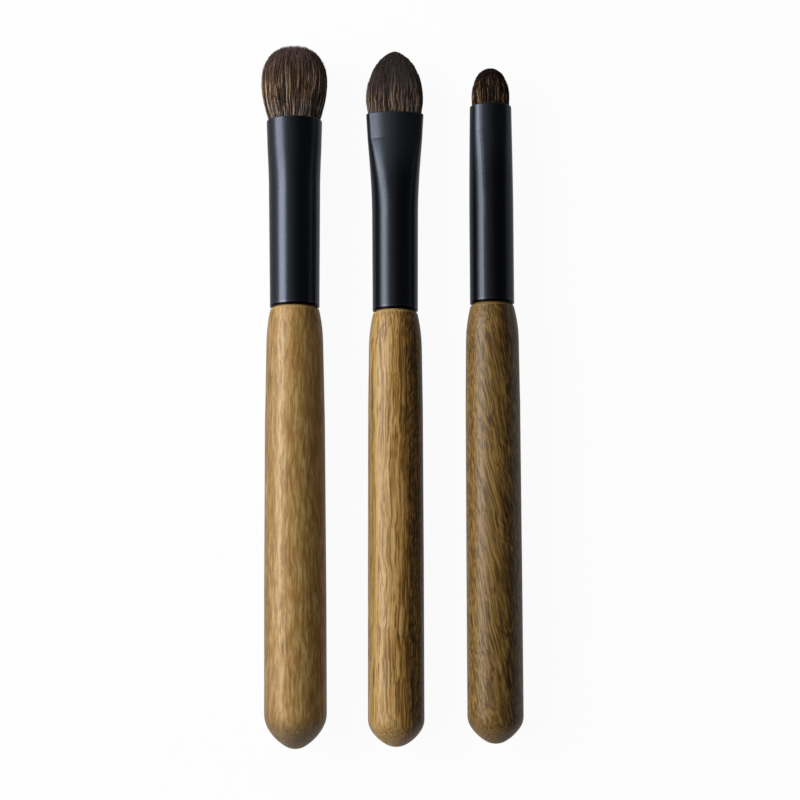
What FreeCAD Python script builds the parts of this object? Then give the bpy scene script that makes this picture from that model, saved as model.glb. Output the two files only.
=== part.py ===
import FreeCAD, Part
import math
import os

import Sketcher

# Three eyeshadow brushes of one set, lying side by side on a table as they are laid out for sale.
# +Z is up from the table, +Y runs along the brushes towards the hair, +X to the right.
# The origin is on the table under the middle of the set. All sizes are in millimetres and degrees.
# Each brush is modelled upright on its own axis, with the joint of handle and ferrule at height 0
# and the hair upwards, and its pieces are then laid down together.

SHARED_SIZES = {
    "ferrule_wall": 0.4,  # sheet thickness of the drawn tube
    "ferrule_lip": 0.18,  # rounding of the ferrule's mouth and of its lower edge
    "joint_gap": 0.24,  # dark line of adhesive between ferrule and shoulder
    "neck_step": 0.06,  # how far the wood lies inside the ferrule at the joint
    "neck_chamfer": 0.25,
    "tenon_length": 15.0,
    "tenon_chamfer": 0.8,
    "tenon_film": 0.3,  # adhesive on the tenon
    "fit_clearance": 0.02,  # between glued faces
    "oval_turn": 65.0,  # angle at which an oval's end curve meets its face curve
    "tuft_clearance": 0.36,  # between the free hair and the ferrule's mouth
    "tuft_sink": 0.4,  # how far the free hair starts inside the mouth
    "root_drop": 2.0,  # top of the tied root below the mouth
    "root_length": 9.5,  # cut ends of the hair below the mouth
    "root_clearance": 0.16,  # between the top of the root and the ferrule
    "root_squeeze": 0.55,  # how much the thread pulls the root in
    "thread_size": 0.3,
    "thread_top": 6.2,  # top of the winding below the mouth
    "thread_width": 1.2,
    "plug_top": 7.6,  # resin plug below the mouth
    "plug_bottom": 12.0,
    "plug_clearance": 0.05,
}

BRUSH_SIZES = {
    "round": {
        "joint_x": -18.39,
        "joint_y": 15.52,
        "lean": 0.5,
        "handle_length": 83.5,
        "handle_diameter": 11.8,
        "grip_length": 22.0,
        "middle_diameter": 11.5,
        "middle_length": 22.0,
        "shoulder_diameter": 10.94,
        "shoulder_length": 6.6,
        "butt_length": 6.6,
        "butt_nose_radius": 3.6,
        "butt_flank_radius": 9.4,
        "butt_edge_radius": 5.5,
        "tube_diameter": 9.56,
        "tube_top_diameter": 9.95,
        "tube_length": 22.3,
        "ferrule_length": 37,
        "press_length": 5.6,
        "press_width": 10.5,
        "press_thickness": 9.2,
        "mouth_width": 10.84,
        "mouth_thickness": 9.1,
        "tuft_length": 15.5,
        "tuft_width": 12.95,
        "tuft_thickness": 10.0,
        "tuft_belly": 7.9,
        "tuft_bluntness": 0.445,
    },
    "pointed": {
        "joint_x": 1.03,
        "joint_y": 14.84,
        "lean": 0.15,
        "handle_length": 82.5,
        "handle_diameter": 10.66,
        "grip_length": 30.0,
        "middle_diameter": 10.54,
        "middle_length": 18.0,
        "shoulder_diameter": 10.24,
        "shoulder_length": 7.0,
        "butt_length": 5.1,
        "butt_nose_radius": 4.0,
        "butt_flank_radius": 7.6,
        "butt_edge_radius": 3.6,
        "tube_diameter": 8.77,
        "tube_top_diameter": 8.96,
        "tube_length": 18.4,
        "ferrule_length": 39.3,
        "press_length": 5.2,
        "press_width": 10.65,
        "press_thickness": 5.1,
        "mouth_width": 11.27,
        "mouth_thickness": 5.0,
        "tuft_length": 12.7,
        "tuft_width": 11.12,
        "tuft_thickness": 4.5,
        "tuft_belly": 2.9,
        "tuft_bluntness": 0.575,
    },
    "pencil": {
        "joint_x": 19.78,
        "joint_y": 16.27,
        "lean": 0.12,
        "handle_length": 83.35,
        "handle_diameter": 10.6,
        "grip_length": 30.0,
        "middle_diameter": 10.5,
        "middle_length": 19.0,
        "shoulder_diameter": 10.22,
        "shoulder_length": 7.0,
        "butt_length": 5.2,
        "butt_nose_radius": 3.8,
        "butt_flank_radius": 8.8,
        "butt_edge_radius": 3.8,
        "tube_diameter": 8.55,
        "tube_top_diameter": 8.58,
        "tube_length": 17.1,
        "ferrule_length": 39.35,
        "press_length": 5.3,
        "press_width": 8.28,
        "press_thickness": 6.6,
        "mouth_width": 8.14,
        "mouth_thickness": 6.4,
        "tuft_length": 7.8,
        "tuft_width": 7.36,
        "tuft_thickness": 5.8,
        "tuft_belly": 1.95,
        "tuft_bluntness": 0.457,
    },
}

doc = FreeCAD.newDocument("eyeshadow_brush_set")
sheet = doc.addObject("Spreadsheet::Sheet", "Sizes")


def fill_sheet():
    """Write every size into the sheet, one named cell each."""
    row = 0
    for group, sizes in [("", SHARED_SIZES)] + [(name + "_", BRUSH_SIZES[name]) for name in BRUSH_SIZES]:
        for key, number in sizes.items():
            row += 1
            sheet.set(f"A{row}", group + key)
            sheet.set(f"B{row}", str(number))
            sheet.setAlias(f"B{row}", group + key)
    doc.recompute()


def number_of(expression):
    """Work out an expression over the sheet as a plain number."""
    return float(sheet.evalExpression(expression))


def name_of(*words):
    """Join words into an object name."""
    return "".join(word.title().replace("_", "") for word in words)


def origin_plane(body, role):
    """Find one of a body's own origin planes."""
    return next(feature for feature in body.Origin.OriginFeatures if feature.Role == role)


def new_sketch(body, label, role, height="0"):
    """Add a sketch to a body on one of its origin planes, moved out by a height."""
    sketch = body.newObject("Sketcher::SketchObject", label)
    sketch.AttachmentSupport = (origin_plane(body, role), [""])
    sketch.MapMode = "FlatFace"
    sketch.setExpression("AttachmentOffset.Base.z", height)
    return sketch


def bind(sketch, kind, place, expression):
    """Add a dimension to a sketch and tie it to the sheet."""
    index = sketch.addConstraint(Sketcher.Constraint(kind, *place, number_of(expression)))
    sketch.setExpression(f"Constraints[{index}]", expression)


def arc_between(start, end, radius):
    """Arc that runs anticlockwise from start to end, at most half a turn."""
    chord = end - start
    inward = FreeCAD.Vector(-chord.y, chord.x, 0).normalize()
    centre = (start + end) * 0.5 + inward * math.sqrt(max(radius**2 - (chord.Length / 2) ** 2, 0.0))
    first = math.atan2(start.y - centre.y, start.x - centre.x)
    last = math.atan2(end.y - centre.y, end.x - centre.x)
    circle = Part.Circle(centre, FreeCAD.Vector(0, 0, 1), radius)
    return Part.ArcOfCircle(circle, first, last if last > first else last + 2 * math.pi)


def add_oval(sketch, half_width, half_thickness):
    """Add an oval of four tangent arcs: two round ends and two flatter faces."""
    turn = "Sizes.oval_turn"
    share = f"(sin({turn}) + cos({turn}) - 1)"
    end_radius = f"(({half_thickness}) * cos({turn}) - ({half_width}) * (1 - sin({turn}))) / {share}"
    face_radius = f"(({half_width}) * sin({turn}) - ({half_thickness}) * (1 - cos({turn}))) / {share}"
    corner_x = f"({half_width}) - ({end_radius}) * (1 - cos({turn}))"
    corner_y = f"({end_radius}) * sin({turn})"
    x, y = number_of(corner_x), number_of(corner_y)
    corners = [FreeCAD.Vector(*point, 0) for point in [(x, -y), (x, y), (-x, y), (-x, -y)]]
    radii = [end_radius, face_radius, end_radius, face_radius]
    arcs = [
        arc_between(corners[side], corners[(side + 1) % 4], number_of(radii[side])) for side in range(4)
    ]
    first = sketch.addGeometry(arcs, False)[0]
    right, top, left, bottom = range(first, first + 4)
    for arc, following in [(right, top), (top, left), (left, bottom), (bottom, right)]:
        sketch.addConstraint(Sketcher.Constraint("Coincident", arc, 2, following, 1))
    sketch.addConstraint(Sketcher.Constraint("Symmetric", top, 1, top, 2, -2))
    sketch.addConstraint(Sketcher.Constraint("Symmetric", bottom, 1, bottom, 2, -2))
    sketch.addConstraint(Sketcher.Constraint("Symmetric", top, 1, bottom, 2, -1))
    sketch.addConstraint(Sketcher.Constraint("Equal", right, left))
    sketch.addConstraint(Sketcher.Constraint("Equal", top, bottom))
    bind(sketch, "DistanceX", (-1, 1, top, 1), corner_x)
    bind(sketch, "DistanceY", (-1, 1, top, 1), corner_y)
    bind(sketch, "Radius", (right,), end_radius)
    bind(sketch, "Radius", (top,), face_radius)


def oval_section(body, label, height, half_width, half_thickness):
    """Add a sketch that holds one oval across the brush's axis."""
    sketch = new_sketch(body, label, "XY_Plane", height)
    add_oval(sketch, half_width, half_thickness)
    return sketch


def loft(body, kind, label, sections, ruled=False):
    """Add or take away a loft through sections."""
    feature = body.newObject(f"PartDesign::{kind}Loft", label)
    feature.Profile = (sections[0], [""])
    feature.Sections = [(section, [""]) for section in sections[1:]]
    feature.Ruled = ruled
    return feature


def turned(body, label, sketch):
    """Add a full turn of a profile about the brush's axis."""
    feature = body.newObject("PartDesign::Revolution", label)
    feature.Profile = sketch
    feature.ReferenceAxis = (sketch, ["V_Axis"])
    feature.Angle = 360
    return feature


def add_outline(sketch, points, arcs):
    """Add a closed outline of lines, with arcs in place of some of them, and join its corners.

    arcs gives, by the number of the corner they start from, the radius of each arc. Corners that a
    tangent joins are left open here.
    """
    edges = []
    for corner, point in enumerate(points):
        following = points[(corner + 1) % len(points)]
        if corner in arcs:
            edges.append(arc_between(point, following, arcs[corner]))
        else:
            edges.append(Part.LineSegment(point, following))
    sketch.addGeometry(edges, False)


class Brush:
    """One brush of the set: the pieces, each a body that is laid down with the others."""

    def __init__(self, kind):
        self.kind = kind
        self.pieces = []

    def size(self, key):
        """The sheet's cell for one of this brush's sizes."""
        return f"Sizes.{self.kind}_{key}"

    def piece(self, label):
        """Start a piece of this brush and lay it down in the set."""
        body = doc.addObject("PartDesign::Body", name_of(self.kind, label))
        body.Label = f"{self.kind}_{label}"
        place = f"vector({self.size('joint_x')}; {self.size('joint_y')}; {self.size('handle_diameter')} / 2)"
        lean = f"rotation(vector(0; 0; 1); {self.size('lean')})"
        body.setExpression("Placement", f"placement({place}; {lean} * rotation(vector(1; 0; 0); -90))")
        self.pieces.append(body)
        return body

    def below_mouth(self, depth):
        """Height of a place that lies a depth below the ferrule's mouth."""
        return f"({self.size('ferrule_length')} - ({depth}))"

    def tube_radius(self, height):
        """Outer radius of the ferrule's round stretch at a height."""
        low, high = self.size("tube_diameter"), self.size("tube_top_diameter")
        share = f"(({height}) - Sizes.joint_gap) / ({self.size('tube_length')} - Sizes.joint_gap)"
        return f"({low} + ({high} - {low}) * {share}) / 2"

    def pressed_half(self, side, share):
        """Outer half size of the ferrule between its round stretch and its press line.

        side is width or thickness, share runs from 0 at the round stretch to 1 at the press line.
        """
        start, end = self.size("tube_top_diameter"), self.size(f"press_{side}")
        return f"({start} + ({end} - {start}) * (1 - cos(90 * ({share})))) / 2"

    def pressed_height(self, share):
        """Height of a place between the ferrule's round stretch and its press line."""
        start = self.size("tube_length")
        end = self.below_mouth(self.size("press_length"))
        return f"{start} + ({end} - {start}) * {share}"

    def mouth_halves(self):
        """Outer half width and half thickness of the ferrule's mouth."""
        return [f"{self.size(f'mouth_{side}')} / 2" for side in ("width", "thickness")]

    def handle(self):
        """Turned wooden handle with a rounded butt, a swelling shoulder and a tenon."""
        body = self.piece("handle")
        length, grip = self.size("handle_length"), f"{self.size('handle_diameter')} / 2"
        middle, middle_length = f"{self.size('middle_diameter')} / 2", self.size("middle_length")
        shoulder, shoulder_length = f"{self.size('shoulder_diameter')} / 2", self.size("shoulder_length")
        neck = f"{self.size('tube_diameter')} / 2 - Sizes.neck_step"
        tenon = f"{self.size('tube_diameter')} / 2 - Sizes.ferrule_wall - Sizes.tenon_film"
        chamfer, end_chamfer, top = "Sizes.neck_chamfer", "Sizes.tenon_chamfer", "Sizes.tenon_length"
        butt, straight = self.size("butt_length"), self.size("grip_length")
        corners = [
            (grip, f"{butt} - {length}"),
            (grip, f"{butt} + {straight} - {length}"),
            (middle, f"-{middle_length}"),
            (shoulder, f"-{shoulder_length}"),
            (neck, f"-{chamfer}"),
            (f"{neck} - {chamfer}", "0"),
            (tenon, "0"),
            (tenon, f"{top} - {end_chamfer}"),
            (f"{tenon} - {end_chamfer}", top),
            ("0", top),
        ]
        points = [FreeCAD.Vector(number_of(x), number_of(y), 0) for x, y in corners]
        tip = FreeCAD.Vector(0, -number_of(length), 0)
        radii = [self.size(f"butt_{part}_radius") for part in ("nose", "flank", "edge")]
        nose, flank, edge = [number_of(radius) for radius in radii]
        points = [tip] + self.butt_touches(tip, points[0], nose, flank, edge) + points
        taper, run = points[6] - points[5], points[7] - points[6]
        turn_in = run.Length**2 * taper.Length / (2 * (taper.x * run.y - taper.y * run.x))
        sketch = new_sketch(body, name_of(self.kind, "handle_profile"), "XZ_Plane")
        add_outline(sketch, points, {0: nose, 1: flank, 2: edge, 6: turn_in})
        for side in range(len(points)):
            kind = "Tangent" if side in (0, 1, 2, 5) else "Coincident"
            sketch.addConstraint(Sketcher.Constraint(kind, side, 2, (side + 1) % len(points), 1))
        for side in (3, 9, 12):
            sketch.addConstraint(Sketcher.Constraint("Vertical", side))
        for side in (8, 11):
            sketch.addConstraint(Sketcher.Constraint("Horizontal", side))
        sketch.addConstraint(Sketcher.Constraint("PointOnObject", 0, 1, -2))
        sketch.addConstraint(Sketcher.Constraint("PointOnObject", 0, 3, -2))
        sketch.addConstraint(Sketcher.Constraint("PointOnObject", 8, 1, -1))
        bind(sketch, "DistanceY", (0, 1, -1, 1), length)
        bind(sketch, "DistanceY", (0, 1, 3, 1), butt)
        bind(sketch, "DistanceX", (-1, 1, 3, 1), grip)
        bind(sketch, "DistanceY", (3, 1, 3, 2), straight)
        bind(sketch, "DistanceX", (-1, 1, 5, 1), middle)
        bind(sketch, "DistanceY", (5, 1, -1, 1), middle_length)
        bind(sketch, "DistanceX", (-1, 1, 6, 1), shoulder)
        bind(sketch, "DistanceY", (6, 1, -1, 1), shoulder_length)
        bind(sketch, "DistanceX", (-1, 1, 7, 1), neck)
        bind(sketch, "DistanceY", (7, 1, -1, 1), chamfer)
        bind(sketch, "DistanceX", (7, 2, 7, 1), chamfer)
        bind(sketch, "DistanceX", (-1, 1, 9, 1), tenon)
        bind(sketch, "DistanceY", (10, 1, 10, 2), end_chamfer)
        bind(sketch, "DistanceX", (10, 2, 10, 1), end_chamfer)
        bind(sketch, "DistanceY", (-1, 1, 11, 1), top)
        for side, radius in enumerate(radii):
            bind(sketch, "Radius", (side,), radius)
        turned(body, name_of(self.kind, "handle_turned"), sketch)

    def butt_touches(self, tip, foot, nose, flank, edge):
        """Points where the butt's flank runs into its nose and into its rounded edge."""
        nose_centre = FreeCAD.Vector(0, tip.y + nose, 0)
        edge_centre = FreeCAD.Vector(foot.x - edge, foot.y, 0)
        span = edge_centre - nose_centre
        along = ((flank - nose) ** 2 - (flank - edge) ** 2 + span.Length**2) / (2 * span.Length)
        across = math.sqrt((flank - nose) ** 2 - along**2)
        forward = span / span.Length
        flank_centre = nose_centre + forward * along + FreeCAD.Vector(-forward.y, forward.x, 0) * across
        return [
            centre + (centre - flank_centre).normalize() * radius
            for centre, radius in ((nose_centre, nose), (edge_centre, edge))
        ]

    def round_edges(self, body, key, rings):
        """Round the outer edges of a body that lie flat at given heights.

        rings gives for each height how far out to the side and to the front an edge must reach.
        """
        feature = body.Tip
        names = []
        for number, edge in enumerate(feature.Shape.Edges, 1):
            box = edge.BoundBox
            for height, side, front in rings:
                flat = abs(box.ZMin - height) < 1e-4 and abs(box.ZMax - height) < 1e-4
                if flat and (box.XMax > side or -box.XMin > side or box.YMax > front or -box.YMin > front):
                    names.append(f"Edge{number}")
        fillet = body.newObject("PartDesign::Fillet", name_of(body.Name, key))
        fillet.Base = (feature, names)
        fillet.setExpression("Radius", f"Sizes.{key}")

    def ferrule_sections(self, body, inset, label):
        """Sections of the ferrule from its lower edge to its mouth, moved inwards by an inset."""
        places = [
            ("Sizes.joint_gap", self.tube_radius("Sizes.joint_gap"), self.tube_radius("Sizes.joint_gap")),
        ]
        for share in (0, 0.25, 0.5, 0.75, 1):
            halves = [self.pressed_half(side, share) for side in ("width", "thickness")]
            places.append((self.pressed_height(share), *halves))
        places.append((self.size("ferrule_length"), *self.mouth_halves()))
        return [
            oval_section(body, f"{label}Section{number}", height, f"{wide} - {inset}", f"{thick} - {inset}")
            for number, (height, wide, thick) in enumerate(places)
        ]

    def ferrule(self):
        """Drawn tube, pressed to an oval towards its mouth."""
        body = self.piece("ferrule")
        tag = name_of(self.kind, "ferrule")
        for kind, label, inset in [
            ("Additive", f"{tag}Outside", "0"),
            ("Subtractive", f"{tag}Bore", "Sizes.ferrule_wall"),
        ]:
            sections = self.ferrule_sections(body, inset, label)
            loft(body, kind, f"{label}Tube", sections[:2], ruled=True)
            loft(body, kind, f"{label}Pressing", sections[1:6])
            loft(body, kind, f"{label}Mouth", sections[5:], ruled=True)
        doc.recompute()
        rings = []
        foot, half_wall = "Sizes.joint_gap", "Sizes.ferrule_wall / 2"
        for height, side, front in [
            (foot, self.tube_radius(foot), self.tube_radius(foot)),
            (self.size("ferrule_length"), *self.mouth_halves()),
        ]:
            reach = (height, f"{side} - {half_wall}", f"{front} - {half_wall}")
            rings.append([number_of(word) for word in reach])
        self.round_edges(body, "ferrule_lip", rings)

    def hair_tuft(self):
        """Free hair: swells from the mouth to its belly and closes in a dome."""
        body = self.piece("hair_tuft")
        tag = name_of(self.kind, "tuft")
        rim, belly, length = (self.size(key) for key in ("ferrule_length", "tuft_belly", "tuft_length"))
        start = {side: f"({self.size(f'mouth_{side}')} / 2 - Sizes.ferrule_wall - Sizes.tuft_clearance)"
                 for side in ("width", "thickness")}
        full = {side: f"({self.size(f'tuft_{side}')} / 2)" for side in ("width", "thickness")}
        sections = []
        for share in (0, 0.5, 1):
            height = f"{rim} - Sizes.tuft_sink + ({belly} + Sizes.tuft_sink) * {share}"
            halves = [f"{start[side]} + ({full[side]} - {start[side]}) * sin(90 * {share})" for side in full]
            sections.append(oval_section(body, f"{tag}Section{len(sections)}", height, *halves))
        for share in (0.4, 0.7, 0.88, 0.97):
            height = f"{rim} + {belly} + ({length} - {belly}) * {share}"
            halves = [f"{full[side]} * (1 - {share}^2)^{self.size('tuft_bluntness')}" for side in full]
            sections.append(oval_section(body, f"{tag}Section{len(sections)}", height, *halves))
        tip = new_sketch(body, f"{tag}Tip", "XY_Plane", f"{rim} + {length}")
        tip.addGeometry(Part.Point(FreeCAD.Vector(0, 0, 0)), False)
        tip.addConstraint(Sketcher.Constraint("Coincident", 0, 1, -1, 1))
        loft(body, "Additive", f"{tag}Hair", sections + [tip])

    def root_half(self, side):
        """Half size of the tied root under the thread."""
        return f"{self.size(f'press_{side}')} / 2 - Sizes.ferrule_wall - Sizes.root_squeeze"

    def hair_root(self):
        """Tied length of the hair inside the ferrule."""
        body = self.piece("hair_root")
        tag = name_of(self.kind, "root")
        sides = ("width", "thickness")
        mouth = [f"{self.size(f'mouth_{side}')} / 2 - Sizes.ferrule_wall - Sizes.root_clearance"
                 for side in sides]
        narrow = [self.root_half(side) for side in sides]
        sections = [
            oval_section(body, f"{tag}Cut", self.below_mouth("Sizes.root_length"), *narrow),
            oval_section(body, f"{tag}Tied", self.below_mouth("Sizes.thread_top"), *narrow),
            oval_section(body, f"{tag}Top", self.below_mouth("Sizes.root_drop"), *mouth),
        ]
        loft(body, "Additive", f"{tag}Straight", sections[:2], ruled=True)
        loft(body, "Additive", f"{tag}Spread", sections[1:], ruled=True)

    def binding_thread(self):
        """Winding of thread round the root."""
        body = self.piece("binding_thread")
        tag = name_of(self.kind, "thread")
        low = self.below_mouth("Sizes.thread_top + Sizes.thread_width")
        sketch = new_sketch(body, f"{tag}Ring", "XY_Plane", low)
        inner = [f"{self.root_half(side)} + Sizes.fit_clearance" for side in ("width", "thickness")]
        add_oval(sketch, *[f"{half} + Sizes.thread_size" for half in inner])
        add_oval(sketch, *inner)
        pad = body.newObject("PartDesign::Pad", f"{tag}Winding")
        pad.Profile = sketch
        pad.setExpression("Length", "Sizes.thread_width")

    def root_glue(self):
        """Plug of resin in the ferrule that the cut ends of the hair stand in."""
        body = self.piece("root_glue")
        tag = name_of(self.kind, "plug")
        sections = []
        for share in (0, 0.5, 1):
            depth = f"Sizes.plug_bottom + (Sizes.plug_top - Sizes.plug_bottom) * {share}"
            height = self.below_mouth(depth)
            start = self.size("tube_length")
            end = self.below_mouth(self.size("press_length"))
            along = f"({height} - {start}) / ({end} - {start})"
            halves = [
                f"{self.pressed_half(side, along)} - Sizes.ferrule_wall - Sizes.plug_clearance"
                for side in ("width", "thickness")
            ]
            sections.append(oval_section(body, f"{tag}Section{share * 2:.0f}", height, *halves))
        loft(body, "Additive", f"{tag}Resin", sections)
        inner = [f"{self.root_half(side)} + Sizes.fit_clearance" for side in ("width", "thickness")]
        seat = oval_section(body, f"{tag}Seat", self.below_mouth("Sizes.plug_top"), *inner)
        pocket = body.newObject("PartDesign::Pocket", f"{tag}Hole")
        pocket.Profile = seat
        pocket.setExpression("Length", "Sizes.root_length - Sizes.plug_top + Sizes.fit_clearance")

    def tenon_glue(self):
        """Film of adhesive round the tenon."""
        body = self.piece("tenon_glue")
        tag = name_of(self.kind, "film")
        low, high = "Sizes.tenon_chamfer", "Sizes.tenon_length - Sizes.tenon_chamfer"
        tenon = f"{self.size('tube_diameter')} / 2 - Sizes.ferrule_wall - Sizes.tenon_film"
        inner = f"{tenon} + Sizes.fit_clearance"
        outer = [
            f"{self.tube_radius(height)} - Sizes.ferrule_wall - Sizes.fit_clearance" for height in (low, high)
        ]
        corners = [(inner, low), (outer[0], low), (outer[1], high), (inner, high)]
        points = [FreeCAD.Vector(number_of(x), number_of(y), 0) for x, y in corners]
        sketch = new_sketch(body, f"{tag}Profile", "XZ_Plane")
        add_outline(sketch, points, {})
        for edge in range(4):
            sketch.addConstraint(Sketcher.Constraint("Coincident", edge, 2, (edge + 1) % 4, 1))
            bind(sketch, "DistanceX", (-1, 1, edge, 1), corners[edge][0])
            bind(sketch, "DistanceY", (-1, 1, edge, 1), corners[edge][1])
        turned(body, f"{tag}Turned", sketch)

    def build(self):
        """Build every piece of the brush."""
        self.handle()
        self.ferrule()
        self.hair_tuft()
        self.hair_root()
        self.binding_thread()
        self.root_glue()
        self.tenon_glue()


def check_document():
    """Stop if any object failed to build."""
    for item in doc.Objects:
        if "Invalid" in item.State or "Error" in item.State:
            raise RuntimeError(f"{item.Label} did not build: {item.State}")
        if item.isDerivedFrom("PartDesign::Feature") and not item.Shape.isValid():
            raise RuntimeError(f"{item.Label} has a faulty shape")


fill_sheet()
brushes = [Brush(kind) for kind in BRUSH_SIZES]
for brush in brushes:
    brush.build()
doc.recompute()
check_document()
os.makedirs("parts", exist_ok=True)
for brush in brushes:
    for body in brush.pieces:
        if body.Shape.isNull() or not body.Shape.isValid():
            raise RuntimeError(f"{body.Label} has no sound shape")
        body.Shape.exportStep(f"parts/{body.Label}.step")
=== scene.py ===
"""Looks of three eyeshadow brushes: wood handles, black ferrules and hair heads on a table."""

import logging
import math
import random
from dataclasses import dataclass
from enum import Enum

import bmesh
import bpy
from mathutils import Matrix, Vector, noise


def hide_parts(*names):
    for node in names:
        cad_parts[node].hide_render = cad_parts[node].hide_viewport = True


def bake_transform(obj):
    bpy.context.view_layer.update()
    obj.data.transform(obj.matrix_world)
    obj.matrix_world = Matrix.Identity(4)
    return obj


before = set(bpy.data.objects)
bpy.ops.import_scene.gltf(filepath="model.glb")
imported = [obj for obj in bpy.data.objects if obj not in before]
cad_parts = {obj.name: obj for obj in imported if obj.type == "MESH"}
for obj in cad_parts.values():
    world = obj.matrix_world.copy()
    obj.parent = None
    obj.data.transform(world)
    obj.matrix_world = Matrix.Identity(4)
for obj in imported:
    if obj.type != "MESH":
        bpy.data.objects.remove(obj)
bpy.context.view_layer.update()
MM = 0.001
LOG = logging.getLogger("brush_set")

Colour = tuple[float, float, float]
Triple = tuple[float, float, float]
HairLine = list[tuple[Vector, float]]


def clamp(value: float, low: float = 0.0, high: float = 1.0) -> float:
    """Keeps a value between two limits."""
    return min(max(value, low), high)


class Kind(Enum):
    """The three heads of the set."""

    ROUND = "round"
    POINTED = "pointed"
    PENCIL = "pencil"


class Value:
    """One socket of a node sheet, which takes part in Python sums."""

    def __init__(self, sheet: "Sheet", socket: bpy.types.NodeSocket) -> None:
        """Holds a socket and the sheet that it is on."""
        self.sheet = sheet
        self.socket = socket

    def __add__(self, other: "Value | float") -> "Value":
        """Sum of two values."""
        return self.sheet.sum("ADD", self, other)

    __radd__ = __add__

    def __sub__(self, other: "Value | float") -> "Value":
        """Difference of two values."""
        return self.sheet.sum("SUBTRACT", self, other)

    def __rsub__(self, other: float) -> "Value":
        """Difference of a number and this value."""
        return self.sheet.sum("SUBTRACT", other, self)

    def __mul__(self, other: "Value | float") -> "Value":
        """Product of two values."""
        return self.sheet.sum("MULTIPLY", self, other)

    __rmul__ = __mul__

    def __truediv__(self, other: "Value | float") -> "Value":
        """Quotient of two values."""
        return self.sheet.sum("DIVIDE", self, other)

    def __pow__(self, other: "Value | float") -> "Value":
        """Power of a value."""
        return self.sheet.sum("POWER", self, other)

    def sibling(self, output: str) -> "Value":
        """Another output of the node that this value comes from."""
        return Value(self.sheet, self.socket.node.outputs[output])

    def size(self) -> "Value":
        """Distance of the value from zero."""
        return self.sheet.sum("ABSOLUTE", self)

    def rise(self, start: float, end: float) -> "Value":
        """Smooth step of the value.

        Args:
            start: where the step is 0.
            end: where the step is 1. It may lie below start.

        Returns:
            The step, between 0 and 1.
        """
        low, high = min(start, end), max(start, end)
        step = self.sheet.node(
            "ShaderNodeMapRange",
            {"interpolation_type": "SMOOTHSTEP"},
            {"Value": self, "From Min": low, "From Max": high},
        )
        return step if start < end else 1 - step

    def bell(self, centre: float, reach: float) -> "Value":
        """Smooth hump that is 1 where the value is at a centre and 0 at a reach from it."""
        return (self - centre).size().rise(reach, 0.0)


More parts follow.
